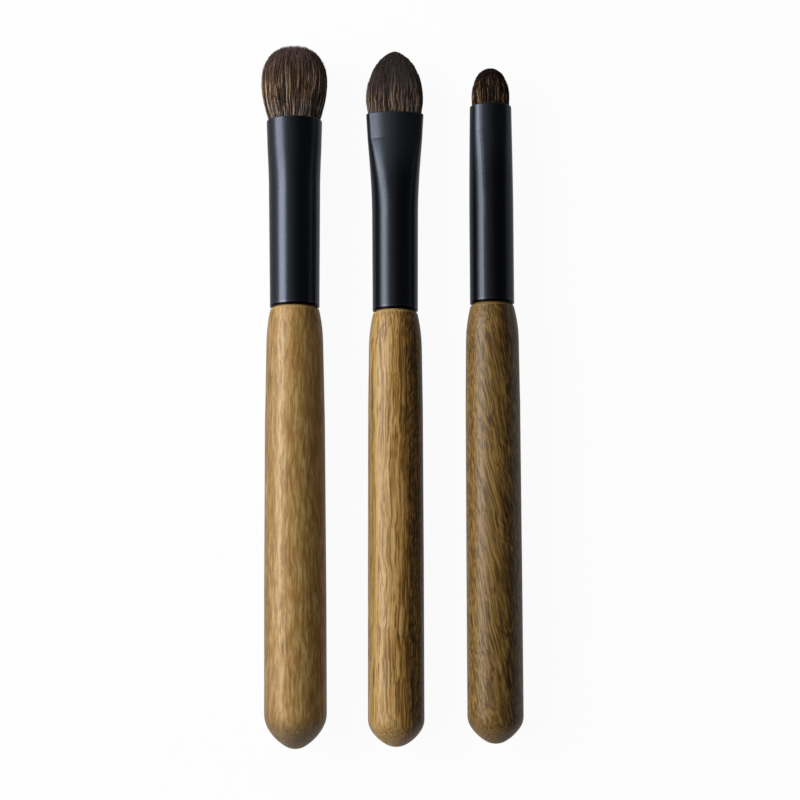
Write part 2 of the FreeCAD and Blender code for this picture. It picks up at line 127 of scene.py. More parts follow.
class Sheet:
    """The node sheet of one material or of the surroundings."""

    def __init__(self, tree: bpy.types.NodeTree) -> None:
        """Starts an empty sheet."""
        self.tree = tree
        tree.nodes.clear()

    def node(
        self,
        kind: str,
        settings: dict[str, object] | None = None,
        sockets: dict[str, object] | None = None,
        output: str = "",
    ) -> Value:
        """Adds a node.

        Args:
            kind: Blender's type name of the node.
            settings: properties of the node, set first. "stops" sets the (place, colour) pairs
                of a colour ramp.
            sockets: values or links by the socket's name or identifier.
            output: name or identifier of the output that is wanted, the first one if it is empty.

        Returns:
            That output, or the node's first input where it has no output.
        """
        made = self.tree.nodes.new(kind)
        for name, setting in (settings or {}).items():
            if name == "stops":
                self.stop_ramp(made.color_ramp, setting)
            else:
                setattr(made, name, setting)
        for name, given in (sockets or {}).items():
            socket = next(s for s in made.inputs if name in (s.identifier, s.name))
            if isinstance(given, Value):
                self.tree.links.new(given.socket, socket)
            else:
                socket.default_value = given
        ends = list(made.outputs) or list(made.inputs)
        return Value(self, next(s for s in ends if output in ("", s.identifier, s.name)))

    @staticmethod
    def stop_ramp(ramp: bpy.types.ColorRamp, stops: list[tuple[float, Colour]]) -> None:
        """Sets a colour ramp's stops.

        Args:
            ramp: the ramp of a new node, which has two stops.
            stops: place and colour of each stop, in order.
        """
        while len(ramp.elements) < len(stops):
            ramp.elements.new(1.0)
        for element, (place, colour) in zip(ramp.elements, stops):
            element.position = place
            element.color = (*colour, 1.0)

    def sum(self, operation: str, *terms: Value | float) -> Value:
        """Adds a Math node.

        Args:
            operation: Blender's name of the operation.
            terms: the values that go in, in order.

        Returns:
            The result.
        """
        names = ("Value", "Value_001", "Value_002")
        return self.node("ShaderNodeMath", {"operation": operation}, dict(zip(names, terms)))

    def vector(self, operation: str, *terms: Value | Triple, output: str = "Vector") -> Value:
        """Adds a Vector Math node.

        Args:
            operation: Blender's name of the operation.
            terms: the vectors that go in, in order.
            output: "Vector", or "Value" for a dot product or a length.

        Returns:
            The result.
        """
        names = ("Vector", "Vector_001", "Vector_002")
        sockets = dict(zip(names, terms))
        return self.node("ShaderNodeVectorMath", {"operation": operation}, sockets, output)

    def mix(
        self,
        share: Value | float,
        first: Value | Colour,
        second: Value | Colour,
        blend: str = "MIX",
    ) -> Value:
        """Mixes two colours.

        Args:
            share: how much of the second colour there is.
            first: colour at a share of 0.
            second: colour at a share of 1.
            blend: Blender's name of the way to mix.

        Returns:
            The mixed colour.
        """
        ends = [c if isinstance(c, Value) else (*c, 1.0) for c in (first, second)]
        return self.node(
            "ShaderNodeMix",
            {"data_type": "RGBA", "blend_type": blend, "clamp_factor": True},
            {"Factor_Float": share, "A_Color": ends[0], "B_Color": ends[1]},
            "Result_Color",
        )

    def cloud(
        self, place: Value, stretch: Triple, detail: float = 2.0, rough: float = 0.5
    ) -> Value:
        """Adds a noise that is stretched.

        Args:
            place: where on the piece, in millimetres.
            stretch: repeats per millimetre across, along and up.
            detail: Blender's detail of the noise.
            rough: Blender's roughness of the noise.

        Returns:
            The noise, about 0.5 on average.
        """
        scaled = self.vector("MULTIPLY", place, stretch)
        sockets = {"Vector": scaled, "Scale": 1.0, "Detail": detail, "Roughness": rough}
        return self.node("ShaderNodeTexNoise", {"noise_dimensions": "3D"}, sockets)

    def parts(self, place: Value) -> tuple[Value, Value, Value]:
        """Splits a vector into its three parts."""
        first = self.node("ShaderNodeSeparateXYZ", None, {"Vector": place})
        across, along, up = (Value(self, end) for end in first.socket.node.outputs)
        return across, along, up

    def layers(self, across: Value) -> Value:
        """Noise along one value only, which draws layers.

        Args:
            across: the value, one per layer.

        Returns:
            The noise, about 0.5 on average.
        """
        sockets = {"W": across, "Scale": 1.0, "Detail": 1.0, "Roughness": 0.55}
        return self.node("ShaderNodeTexNoise", {"noise_dimensions": "1D"}, sockets)

    def bump(self, relief: Value, strength: float, depth: float) -> Value:
        """Turns a relief into a bent normal.

        Args:
            relief: the relief, about 0 to 1.
            strength: Blender's strength of the bump.
            depth: depth of a relief of 1, in millimetres.

        Returns:
            The normal.
        """
        sockets = {"Height": relief, "Strength": strength, "Distance": depth * MM}
        return self.node("ShaderNodeBump", None, sockets)


@dataclass(frozen=True)
class Axis:
    """Where a brush lies: the joint of handle and ferrule in millimetres, the lean in degrees."""

    x: float
    y: float
    height: float
    lean: float

    def matrix(self) -> Matrix:
        """Brush frame in millimetres (across, along to the hair, up) to the row frame."""
        place = Matrix.Translation(Vector((self.x, self.y, self.height)) * MM)
        return place @ Matrix.Rotation(math.radians(self.lean), 4, "Z") @ Matrix.Scale(MM, 4)

    def point(self, along: float) -> Vector:
        """Point on the brush's middle line, in the row frame."""
        return self.matrix() @ Vector((0.0, along, 0.0))

    def place(self, sheet: Sheet) -> Value:
        """The place on a piece in the brush's own frame.

        Args:
            sheet: sheet of the piece's material.

        Returns:
            The place in millimetres.
        """
        back = self.matrix().inverted()
        flat = sheet.node("ShaderNodeTexCoord", output="Object")
        sockets = {
            "Vector": flat,
            "Location": back.translation,
            "Rotation": (0.0, 0.0, -math.radians(self.lean)),
            "Scale": (1 / MM, 1 / MM, 1 / MM),
        }
        return sheet.node("ShaderNodeMapping", {"vector_type": "POINT"}, sockets)


def new_material(name: str) -> tuple[bpy.types.Material, Sheet]:
    """Starts a material.

    Args:
        name: the material's name.

    Returns:
        The material and its empty sheet.
    """
    material = bpy.data.materials.new(name)
    material.use_nodes = True
    return material, Sheet(material.node_tree)


def close_surface(sheet: Sheet, sockets: dict[str, object]) -> None:
    """Ends a sheet with a Principled surface.

    Args:
        sheet: the sheet.
        sockets: values or links of the surface's sockets.
    """
    surface = sheet.node("ShaderNodeBsdfPrincipled", None, sockets)
    sheet.node("ShaderNodeOutputMaterial", None, {"Surface": surface})


@dataclass(frozen=True)
class Grain:
    """One kind of streak in the wood: width and length in mm, strength, and turn in degrees."""

    width: float
    length: float
    depth: float
    turn: float = 0.0

    ROUGHNESS = 0.62

    def draw(self, sheet: Sheet, place: Value, detail: float) -> Value:
        """Draws the streaks.

        Args:
            sheet: sheet of the wood's material.
            place: place in the brush's frame.
            detail: Blender's detail of the noise.

        Returns:
            The streaks, about 0.5 on average.
        """
        sockets = {"Vector": place, "Angle": math.radians(self.turn)}
        turned = sheet.node("ShaderNodeVectorRotate", {"rotation_type": "Z_AXIS"}, sockets)
        repeats = (1 / self.width, 1 / self.length, 1 / self.width)
        return sheet.cloud(turned, repeats, detail, self.ROUGHNESS)


@dataclass(frozen=True)
class WoodFinish:
    """Satin wood: lines of grain, flecks, slow patches and pores, a right side darker with
    heartwood and painted shade, painted shade on the left side and at the handle's end (there with
    end grain), and painted highlights in a pale stripe and at the shoulder.
    """

    name: str
    pale: Colour
    golden: Colour
    brown: Colour
    dark: Colour
    lines: Grain
    flecks: Grain
    patches: Grain
    feather: Grain
    feather_side: tuple[float, float]
    # darker towards the right-hand side, away from the lamp: heartwood figure and painted shade
    heart_and_shade_side: tuple[float, float]
    heart_and_shade_depth: float
    pores: float
    # place, reach and strength of a pale lengthwise stripe on the left where the lamp's sheen
    # falls: a painted highlight
    streak: Triple
    # strength of the painted shade multiplied into the left side of the handle
    left_painted_shade: float
    tip: float
    # colour and strength of the darker turned end: end grain and painted shade where it faces down
    end_grain_and_shade: Colour
    end_shade_depth: float

    DRIFT_SCALE = 0.11
    DRIFT_REACH = (1.6, 0.0, 1.6)
    ACROSS_LAYERS = (0.96, 0.0, -0.28)
    HAIRLINE_REPEATS = (9.0, 0.22, 9.0)
    HAIRLINE_DEPTH = 0.25
    MOTTLE_REPEATS = (0.8, 0.5, 0.8)
    PORE_REPEATS = (7.0, 0.6, 7.0)
    STOP_PLACES = (0.08, 0.36, 0.64, 0.95)
    # painted shade on the left side of the handle: where it starts and is full, and the tint it
    # multiplies by
    LEFT_SHADE_SIDE = (-1.6, -5.0)
    LEFT_SHADE_TINT = (0.42, 0.42, 0.46)
    # reach of the darker turned end above the tip: end grain and painted shade
    BUTT_SHADE_REACH = (8.0, 1.5)
    # painted highlight on the shoulder's chamfer: where it starts and is full, how much, and how
    # much paler than pale
    CHAMFER_HIGHLIGHT_EDGE = (-0.4, -0.2)
    CHAMFER_HIGHLIGHT_SHARE = 0.55
    CHAMFER_HIGHLIGHT_PALENESS = 1.25
    BUMP_STRENGTH = 0.35
    BUMP_DEPTH = 0.03
    ROUGHNESS = 0.32
    IOR = 1.41

    def material(self, axis: Axis) -> bpy.types.Material:
        """Makes the material of one handle.

        Args:
            axis: where the brush lies.

        Returns:
            The material.
        """
        material, sheet = new_material(self.name)
        place = axis.place(sheet)
        sockets = {"Vector": place, "Scale": self.DRIFT_SCALE, "Detail": 2.0}
        drift = sheet.node("ShaderNodeTexNoise", None, sockets, "Color")
        place = sheet.vector("MULTIPLY_ADD", drift, self.DRIFT_REACH, place)
        across = sheet.vector("DOT_PRODUCT", place, self.ACROSS_LAYERS, output="Value")
        side, along, _ = sheet.parts(place)
        lines = self.lines.draw(sheet, place, 5.0)
        flecks = self.flecks.draw(sheet, place, 3.0)
        patches = self.patches.draw(sheet, place, 2.0)
        feather = self.feather.draw(sheet, place, 3.0)
        hairlines = sheet.cloud(place, self.HAIRLINE_REPEATS, 2.0, 0.6)
        mottle = sheet.cloud(place, self.MOTTLE_REPEATS, 3.0, 0.6)
        pores = sheet.cloud(place, self.PORE_REPEATS, 1.0, 0.4).rise(0.6, 0.7)
        ragged = across + (flecks - 0.5) * 2.4 + (patches - 0.5) * 1.5
        # right-hand side darker: heartwood figure and painted shade away from the lamp
        heart_and_shade = ragged.rise(*self.heart_and_shade_side)
        plume = across.rise(*self.feather_side) * (feather.rise(0.42, 0.62) - 0.4)
        # painted highlight: a pale stripe on the left where the lamp's sheen falls, ragged by the
        # flecks
        highlight_streak_side, highlight_streak_reach, highlight_streak_depth = self.streak
        streak = (side + (flecks - 0.5) * 1.6).bell(highlight_streak_side, highlight_streak_reach)
        tone = (
            self.STOP_PLACES[1]
            + (lines.rise(0.38, 0.64) - 0.5) * self.lines.depth
            + (flecks.rise(0.34, 0.66) - 0.5) * self.flecks.depth
            + (patches - 0.5) * self.patches.depth
            + (hairlines - 0.5) * self.HAIRLINE_DEPTH
            + plume * self.feather.depth
            + heart_and_shade * self.heart_and_shade_depth
            - streak * highlight_streak_depth
        )
        stops = list(zip(self.STOP_PLACES, (self.pale, self.golden, self.brown, self.dark)))
        colour = sheet.node("ShaderNodeValToRGB", {"stops": stops}, {"Fac": tone})
        colour = sheet.mix(pores * self.pores, colour, self.dark)
        # painted shade: the left side of the handle darkened
        left_shade = side.rise(*self.LEFT_SHADE_SIDE) * self.left_painted_shade
        colour = sheet.mix(left_shade, colour, self.LEFT_SHADE_TINT, "MULTIPLY")
        # turned end darker: mottled end grain and painted shade where the surface turns away
        butt_shade = along.rise(*(self.tip + reach for reach in self.BUTT_SHADE_REACH))
        colour = sheet.mix(butt_shade * (0.4 + mottle * 1.1) * self.end_shade_depth, colour, self.end_grain_and_shade)
        # painted highlight: the top of the handle next to the ferrule made paler, as if catching
        # the lamp
        cut = tuple(self.CHAMFER_HIGHLIGHT_PALENESS * part for part in self.pale)
        colour = sheet.mix(along.rise(*self.CHAMFER_HIGHLIGHT_EDGE) * self.CHAMFER_HIGHLIGHT_SHARE, colour, cut)
        relief = lines * 0.6 + hairlines * 0.3 + flecks * 0.2 - pores * 0.5
        close_surface(
            sheet,
            {
                "Base Color": colour,
                "Roughness": self.ROUGHNESS + hairlines * 0.1 + flecks * 0.08 + pores * 0.1,
                "IOR": self.IOR,
                "Normal": sheet.bump(relief, self.BUMP_STRENGTH, self.BUMP_DEPTH),
            },
        )
        return material


@dataclass(frozen=True)
class FerruleFinish:
    """Satin black coat on a drawn tube, with the faint line that the pressing tool leaves, painted
    highlights on its rims, a painted sheen above the press line and a painted shade band at its
    foot.
    """

    name: str
    coat: Colour
    rough: float
    press_line: float
    press_reach: float
    press_depth: float
    tick_pitch: float
    mouth: float
    # how much the coat, and with it the reflection, is scaled above the press line: painted sheen
    # above 1, painted shade below 1
    mouth_painted_sheen: float

    DRAWN_REPEATS = (5.0, 0.06, 5.0)
    GRAIN_REPEATS = (9.0, 9.0, 9.0)
    WAVE_REPEATS = (0.6, 0.6, 0.6)
    WAVE_REACH = 0.35
    TICK_RISE = 0.55
    TICK_REACH = 0.5
    # painted highlights on the mouth rim and the foot rim: reach at the mouth, place and reach at
    # the foot
    LIP_HIGHLIGHT_REACH = 0.3
    FOOT_RIM = 0.85
    FOOT_REACH = 0.25
    # painted shade: near-black band at the foot, standing in for the shadowed gap above the wood;
    # where it ends and where it is full
    FOOT_SHADE_BAND = (0.75, 0.55)
    # zone above the press line, and the side beyond which its painted sheen holds
    MOUTH_ZONE_REACH = (-10.0, -1.0)
    MOUTH_SHEEN_SIDE = (-4.6, -2.6)
    # how much brighter the coat is for the painted highlights on the rims
    LIP_HIGHLIGHT_BRIGHTNESS = 2.2
    # near-black of the painted shade band at the foot
    GAP_SHADE_COLOUR = (0.003, 0.003, 0.003)
    EDGE_TINT = (0.86, 0.86, 0.89, 1.0)
    BUMP_STRENGTH = 0.5
    BUMP_DEPTH = 0.03

    def material(self, axis: Axis) -> bpy.types.Material:
        """Makes the material of one ferrule.

        Args:
            axis: where the brush lies.

        Returns:
            The material.
        """
        material, sheet = new_material(self.name)
        place = axis.place(sheet)
        across, along, _ = sheet.parts(place)
        drawn = sheet.cloud(place, self.DRAWN_REPEATS)
        grain = sheet.cloud(place, self.GRAIN_REPEATS)
        wavy = along + (sheet.cloud(place, self.WAVE_REPEATS, 1.0) - 0.5) * self.WAVE_REACH
        line = wavy.bell(self.press_line, self.press_reach)
        ticks = sheet.layers(across / self.tick_pitch).rise(0.5, 0.62)
        tick_rows = wavy.bell(self.press_line + self.TICK_RISE, self.TICK_REACH) * ticks
        # painted highlights on the mouth and foot rims
        lip_highlight = along.bell(self.mouth, self.LIP_HIGHLIGHT_REACH) + along.bell(self.FOOT_RIM, self.FOOT_REACH)
        # zone above the press line: painted sheen in the coat, and a little more roughness
        mouth_zone = along.rise(*(self.press_line + reach for reach in self.MOUTH_ZONE_REACH))
        relief = drawn * 0.1 + grain * 0.05 - (line + tick_rows * 0.6) * self.press_depth
        # coat brightened for the painted highlights on the rims
        highlight_coat = tuple(self.LIP_HIGHLIGHT_BRIGHTNESS * part for part in self.coat)
        # coat scaled for the painted sheen above the press line, away from the left edge
        sheen_coat = tuple(self.mouth_painted_sheen * part for part in self.coat)
        colour = sheet.mix(mouth_zone * across.rise(*self.MOUTH_SHEEN_SIDE), self.coat, sheen_coat)
        colour = sheet.mix(lip_highlight * 0.4, colour, highlight_coat)
        close_surface(
            sheet,
            {
                # painted shade: near-black band at the foot of the ferrule
                "Base Color": sheet.mix(along.rise(*self.FOOT_SHADE_BAND), colour, self.GAP_SHADE_COLOUR),
                "Metallic": 1.0,
                "Specular Tint": self.EDGE_TINT,
                "Roughness": self.rough + (drawn - 0.5) * 0.1 + (grain - 0.5) * 0.05 + mouth_zone * 0.03,
                "Normal": sheet.bump(relief, self.BUMP_STRENGTH, self.BUMP_DEPTH),
            },
        )
        return material


@dataclass(frozen=True)
class HairFinish:
    """Natural hair: dark at the tips, paler towards the ferrule and greyer at its mouth."""

    name: str
    dark: Colour
    brown: Colour
    tan: Colour
    grey: Colour
    tip: Colour
    tip_from: float
    tip_to: float
    tip_depth: float
    foot_depth: float
    gloss: float

    STOP_PLACES = (0.12, 0.45, 0.74, 0.95)
    STREAK_REPEATS = (40.0, 20.0, 1.0)
    STREAK_DEPTH = 1.1
    FOOT_REACH = (0.46, 0.2)
    FOOT_TINT = (0.8, 0.96, 1.3)
    ROUGHNESS = 0.62
    PACKED_REPEATS = (7.0, 0.4, 7.0)
    PACKED_ROUGHNESS = 0.5
    PACKED_BUMP_STRENGTH = 0.8
    PACKED_BUMP_DEPTH = 0.1

    def strand_material(self) -> bpy.types.Material:
        """Makes the material of the hairs, which reads a hair's tone and height from its UV map.

        Returns:
            The material.
        """
        material, sheet = new_material(self.name + "_hairs")
        chart = sheet.node("ShaderNodeUVMap", {"uv_map": "OFBake"})
        tone = sheet.node("ShaderNodeSeparateXYZ", None, {"Vector": chart}, "X")
        height = tone.sibling("Y")
        streaks = sheet.cloud(chart, self.STREAK_REPEATS) - 0.5
        stops = list(zip(self.STOP_PLACES, (self.dark, self.brown, self.tan, self.grey)))
        shade = tone + streaks * self.STREAK_DEPTH
        colour = sheet.node("ShaderNodeValToRGB", {"stops": stops}, {"Fac": shade})
        dim = (height + streaks * 0.35).rise(self.tip_from, self.tip_to) * self.tip_depth
        colour = sheet.mix(dim, colour, self.tip)
        foot = (height + streaks * 0.3).rise(*self.FOOT_REACH) * self.foot_depth
        colour = sheet.mix(foot, colour, self.FOOT_TINT, "MULTIPLY")
        rough = self.ROUGHNESS + streaks * 0.2
        close_surface(sheet, {"Base Color": colour, "Roughness": rough, "IOR": self.gloss})
        return material

    def bundle_material(self, axis: Axis) -> bpy.types.Material:
        """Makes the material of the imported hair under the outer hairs.

        Args:
            axis: where the brush lies.

        Returns:
            The material.
        """
        material, sheet = new_material(self.name + "_bundle")
        place = axis.place(sheet)
        streaks = sheet.cloud(place, self.PACKED_REPEATS, 3.0, 0.6)
        sockets = {
            "Base Color": sheet.mix(streaks.rise(0.4, 0.7), self.tip, self.dark),
            "Roughness": self.PACKED_ROUGHNESS + streaks * 0.2,
            "Normal": sheet.bump(streaks, self.PACKED_BUMP_STRENGTH, self.PACKED_BUMP_DEPTH),
        }
        close_surface(sheet, sockets)
        return material


@dataclass(frozen=True)
class HiddenFinish:
    """Finish of a piece that is closed in by the ferrule: cloudy colour and a rough skin."""

    name: str
    colour: Colour
    second: Colour
    rough: float
    repeats: Triple

    BUMP_STRENGTH = 0.5
    BUMP_DEPTH = 0.05

    def material(self, axis: Axis) -> bpy.types.Material:
        """Makes the material.

        Args:
            axis: where the brush lies.

        Returns:
            The material.
        """
        material, sheet = new_material(self.name)
        cloud = sheet.cloud(axis.place(sheet), self.repeats, 3.0, 0.55)
        sockets = {
            "Base Color": sheet.mix(cloud.rise(0.35, 0.65), self.colour, self.second),
            "Roughness": self.rough + (cloud - 0.5) * 0.2,
            "Normal": sheet.bump(cloud, self.BUMP_STRENGTH, self.BUMP_DEPTH),
        }
        close_surface(sheet, sockets)
        return material


THREAD = HiddenFinish(
    name="binding_thread",
    colour=(0.62, 0.58, 0.48),
    second=(0.45, 0.41, 0.33),
    rough=0.8,
    repeats=(0.6, 6.0, 0.6),
)
RESIN = HiddenFinish(
    name="root_resin",
    colour=(0.42, 0.27, 0.09),
    second=(0.28, 0.16, 0.05),
    rough=0.3,
    repeats=(1.2, 1.2, 1.2),
)
ADHESIVE = HiddenFinish(
    name="tenon_adhesive",
    colour=(0.012, 0.011, 0.010),
    second=(0.03, 0.026, 0.02),
    rough=0.5,
    repeats=(2.0, 2.0, 2.0),
)


@dataclass(frozen=True)
class HairHead:
    """The hair of one brush, in millimetres: a packed bundle from root to tip, and single hairs."""

    kind: Kind
    axis: Axis
    finish: HairFinish
    mouth: float
    mouth_half: tuple[float, float]
    belly: float
    belly_half: tuple[float, float]
    length: float
    bluntness: float
    gather: float
    count: int
    rings: int
    trim: float
    pale_bias: float
    # painted shade by side: the left darker and the right paler where negative, the other way round
    # where positive
    painted_side_shade: float
    seed: int

    ROOT_DROP = 9.4
    TIED_DROP = 6.3
    TIED_SQUEEZE = 0.56
    NECK_DROP = 2.0
    NECK_SQUEEZE = 0.15
    CORE_STEPS = 14
    CORE_REACH = 0.985
    CORE_TRIM = 0.957
    CORE_SHARE = 0.9
    CORE_DEPTH = 0.1
    CORE_LEAST = 0.05
    CORE_SEGMENTS = 40
    HAIR_RADIUS = 0.062
    HAIR_THINNING = 0.6
    HAIR_START = -1.6
    SHORTEST = 0.96
    FREE_HEIGHT = 3.0
    SWAY = 0.55
    SWAY_REPEATS = (0.8, 0.3, 0.8)
    FINE_REPEATS = (1.9, 0.7, 1.9)
    BROAD_REPEATS = (0.6, 0.15, 0.6)
    BROAD_SHIFT = 7.0
    # painted shade along the left rim: where it begins and how strong
    RIM_FROM = 0.55
    RIM_SHADE = 0.7
    TONE_RANGE = (0.03, 0.97)
    GOLDEN_TURN = math.pi * (3 - math.sqrt(5))
    OUTER_OF_TWENTY = 11
    OUTER_SPREAD = (0.88, 0.99)
    INNER_SPREAD = 0.95
    CHART_FOOT = 2.0
    CHART_SPARE = 2.2
    CHART_STEP = 0.0015
    BEND_SHARE = 0.6

    def half_sizes(self, height: float) -> tuple[float, float]:
        """Half width and half thickness of the head.

        Args:
            height: distance above the ferrule's mouth.

        Returns:
            The half width and half thickness.
        """
        if height < self.belly:
            share = math.sin(max(height, 0.0) / self.belly * math.pi / 2)
            return tuple(m + (b - m) * share for m, b in zip(self.mouth_half, self.belly_half))
        share = min((height - self.belly) / (self.length - self.belly), 1.0)
        close = max(1 - share * share, 0.0) ** self.bluntness
        return tuple(b * close for b in self.belly_half)

    def bundle_half(self, height: float, side: int) -> float:
        """Half size of the outermost hairs' path, which closes less than the outline.

        Args:
            height: distance above the ferrule's mouth.
            side: 0 for the width, 1 for the thickness.

        Returns:
            The half size.
        """
        outline = self.half_sizes(height)[side]
        if height <= self.belly:
            return outline
        full = self.belly_half[side]
        return full * (outline / full) ** self.gather

    def end_height(self, spread: float) -> float:
        """Height at which a hair meets the outline and ends.

        Args:
            spread: the hair's place between the middle, 0, and the outside, 1.

        Returns:
            The height above the mouth.
        """
        close = spread ** (1 / (1 - self.gather))
        share = math.sqrt(max(1 - close ** (1 / self.bluntness), 0.0))
        return self.belly + (self.length - self.belly) * share

    def bundle(self) -> bpy.types.Object:
        """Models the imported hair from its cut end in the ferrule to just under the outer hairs.

        Returns:
            The object, in the row frame.
        """
        tied = [half - self.TIED_SQUEEZE for half in self.mouth_half]
        stations = [(-self.ROOT_DROP, *tied), (-self.TIED_DROP, *tied)]
        stations.append((-self.NECK_DROP, *(half - self.NECK_SQUEEZE for half in self.mouth_half)))
        for step in range(self.CORE_STEPS + 1):
            share = step / self.CORE_STEPS
            height = self.length * self.CORE_REACH * math.sin(share * math.pi / 2)
            cores = [half * self.CORE_SHARE - self.CORE_DEPTH for half in self.half_sizes(height)]
            sizes = (max(core, self.CORE_LEAST) for core in cores)
            stations.append((height * self.CORE_TRIM, *sizes))
        mesh = bmesh.new()
        circle = {"cap_ends": True, "segments": self.CORE_SEGMENTS, "radius": 1.0}
        ring = bmesh.ops.create_circle(mesh, **circle)["verts"]
        turn = Matrix.Rotation(math.radians(-90), 4, "X")
        bmesh.ops.transform(mesh, matrix=turn, verts=ring)
        height, wide, thick = stations[0]
        bmesh.ops.scale(mesh, vec=(wide, 1.0, thick), verts=ring)
        bmesh.ops.translate(mesh, vec=(0.0, self.mouth + height, 0.0), verts=ring)
        edges = list(mesh.edges)
        for height_next, wide_next, thick_next in stations[1:]:
            made = bmesh.ops.extrude_edge_only(mesh, edges=edges)["geom"]
            ring = [item for item in made if isinstance(item, bmesh.types.BMVert)]
            edges = [item for item in made if isinstance(item, bmesh.types.BMEdge)]
            bmesh.ops.scale(mesh, vec=(wide_next / wide, 1.0, thick_next / thick), verts=ring)
            bmesh.ops.translate(mesh, vec=(0.0, height_next - height, 0.0), verts=ring)
            height, wide, thick = height_next, wide_next, thick_next
        bmesh.ops.holes_fill(mesh, edges=edges, sides=0)
        bmesh.ops.recalc_face_normals(mesh, faces=mesh.faces)
        bmesh.ops.transform(mesh, matrix=self.axis.matrix(), verts=mesh.verts)
        data = bpy.data.meshes.new(f"{self.kind.value}_hair_bundle")
        mesh.to_mesh(data)
        mesh.free()
        data.shade_smooth()
        return add_object(data)

    def wave(self, spot: Vector, repeats: Triple, shift: float = 0.0) -> float:
        """Smooth noise of this head.

        Args:
            spot: the place across the head and above the mouth, in millimetres.
            repeats: repeats per millimetre across, along and up.
            shift: step across to another noise.

        Returns:
            The noise, about 0 on average.
        """
        across, along, up = (part * repeat for part, repeat in zip(spot, repeats))
        return noise.noise(Vector((across + shift, along, up + self.seed)))

    def hair_tone(self, spot: Vector, turn: float) -> float:
        """How pale the lock of hair is at a place, with painted shade by side and along the left
        rim.

        Args:
            spot: the place across the head and above the mouth, in millimetres.
            turn: where it stands round the head, in radians from the right-hand side.

        Returns:
            The tone, about 0 for dark and 1 for pale.
        """
        fine = self.wave(spot, self.FINE_REPEATS)
        broad = self.wave(spot, self.BROAD_REPEATS, self.BROAD_SHIFT)
        # painted shade: one side darker and the other paler, and the left rim darker against the
        # lamp's light
        right = math.cos(turn)
        shade = right * self.painted_side_shade + max(-right - self.RIM_FROM, 0.0) * self.RIM_SHADE
        return self.pale_bias + fine * 0.95 + broad * 0.4 - shade

    def hair_line(self, turn: float, spread: float, chance: random.Random) -> HairLine:
        """Line of one hair.

        Args:
            turn: where it stands round the head, in radians.
            spread: its place between the middle, 0, and the outside, 1.
            chance: source of chance.

        Returns:
            Points from inside the ferrule to the tip, in the brush's frame, with their tones.
        """
        end = self.end_height(spread) * self.trim * chance.uniform(self.SHORTEST, 1.0)
        start = self.HAIR_START
        lift = chance.gauss(-0.012, 0.02)
        own_tone, own_sway = chance.gauss(0.0, 0.12), chance.gauss(0.0, 0.04)
        wide, thick = self.mouth_half
        foot = Vector((math.cos(turn) * spread * wide, 0.0, math.sin(turn) * spread * thick))
        line = []
        for ring in range(self.rings):
            height = start + (end - start) * ring / (self.rings - 1)
            spot = foot + Vector((0.0, height, 0.0))
            free = clamp(height / self.FREE_HEIGHT)
            sway = (self.wave(spot, self.SWAY_REPEATS) * self.SWAY + own_sway) * free
            angle = turn + sway / max(self.belly_half[0], 1.0)
            out = spread + lift * free
            point = Vector(
                (
                    math.cos(angle) * out * self.bundle_half(height, 0),
                    self.mouth + height,
                    math.sin(angle) * out * self.bundle_half(height, 1),
                )
            )
            line.append((point, clamp(self.hair_tone(spot, turn) + own_tone, *self.TONE_RANGE)))
        return line

    def hairs(self) -> bpy.types.Object:
        """Models the outer hairs as tapered strands, with a UV map of tone and height.

        Returns:
            The object, in the row frame.
        """
        chance = random.Random(self.seed)
        curve = bpy.data.curves.new(f"{self.kind.value}_hair_lines", "CURVE")
        curve.dimensions = "3D"
        curve.bevel_depth = self.HAIR_RADIUS
        curve.bevel_resolution = 0
        curve.use_fill_caps = True
        lines = []
        for number in range(self.count):
            turn = number * self.GOLDEN_TURN + chance.uniform(-0.2, 0.2)
            if number % 20 < self.OUTER_OF_TWENTY:
                spread = chance.uniform(*self.OUTER_SPREAD)
            else:
                spread = self.INNER_SPREAD * math.sqrt(chance.random())
            line = self.hair_line(turn, spread, chance)
            lines.append(line)
            spline = curve.splines.new("POLY")
            spline.points.add(len(line) - 1)
            for ring, (knot, (point, _)) in enumerate(zip(spline.points, line)):
                knot.co = (*point, 1.0)
                knot.radius = 1.0 - self.HAIR_THINNING * (ring / (self.rings - 1)) ** 3
        drawn = bpy.data.objects.new(curve.name, curve)
        data = bpy.data.meshes.new_from_object(drawn)
        data.name = f"{self.kind.value}_hair_strands"
        bpy.data.objects.remove(drawn)
        bpy.data.curves.remove(curve)
        self.chart_hairs(data, lines)
        data.transform(self.axis.matrix())
        data.shade_smooth()
        return add_object(data)

    def chart_hairs(self, data: bpy.types.Mesh, lines: list[HairLine]) -> None:
        """Gives the strands a UV map: a hair's tone across and its height above the mouth upwards.

        Args:
            data: the strands' mesh, in the brush's frame.
            lines: points and tones of each hair in order.
        """
        while data.uv_layers:
            data.uv_layers.remove(data.uv_layers[0])
        chart = data.uv_layers.new(name="OFBake")
        share = len(data.vertices) // len(lines)
        marks = []
        for vertex in data.vertices:
            along = vertex.co.y
            line = lines[vertex.index // share]
            _, tone = min(line, key=lambda knot: abs(knot[0].y - along))
            height = (along - self.mouth + self.CHART_FOOT) / (self.length + self.CHART_SPARE)
            shift = (vertex.index % 4 - 1.5) * self.CHART_STEP
            marks.append((clamp(tone + shift), clamp(height)))
        for loop in data.loops:
            chart.uv[loop.index].vector = marks[loop.vertex_index]

    def build(self) -> None:
        """Models the hair, dresses it and hides the imported hair pieces that it stands in for."""
        name = self.kind.value
        start = self.axis.point(self.mouth)
        end = self.axis.point(self.mouth + self.length * self.BEND_SHARE)
        for piece, material, node in (
            (self.bundle(), self.finish.bundle_material(self.axis), f"{name}_hair_root"),
            (self.hairs(), self.finish.strand_material(), f"{name}_hair_tuft"),
        ):
            piece.data.materials.append(material)
            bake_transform(piece)
            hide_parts(node)
            LOG.info("%s: %d faces", piece.name, len(piece.data.polygons))


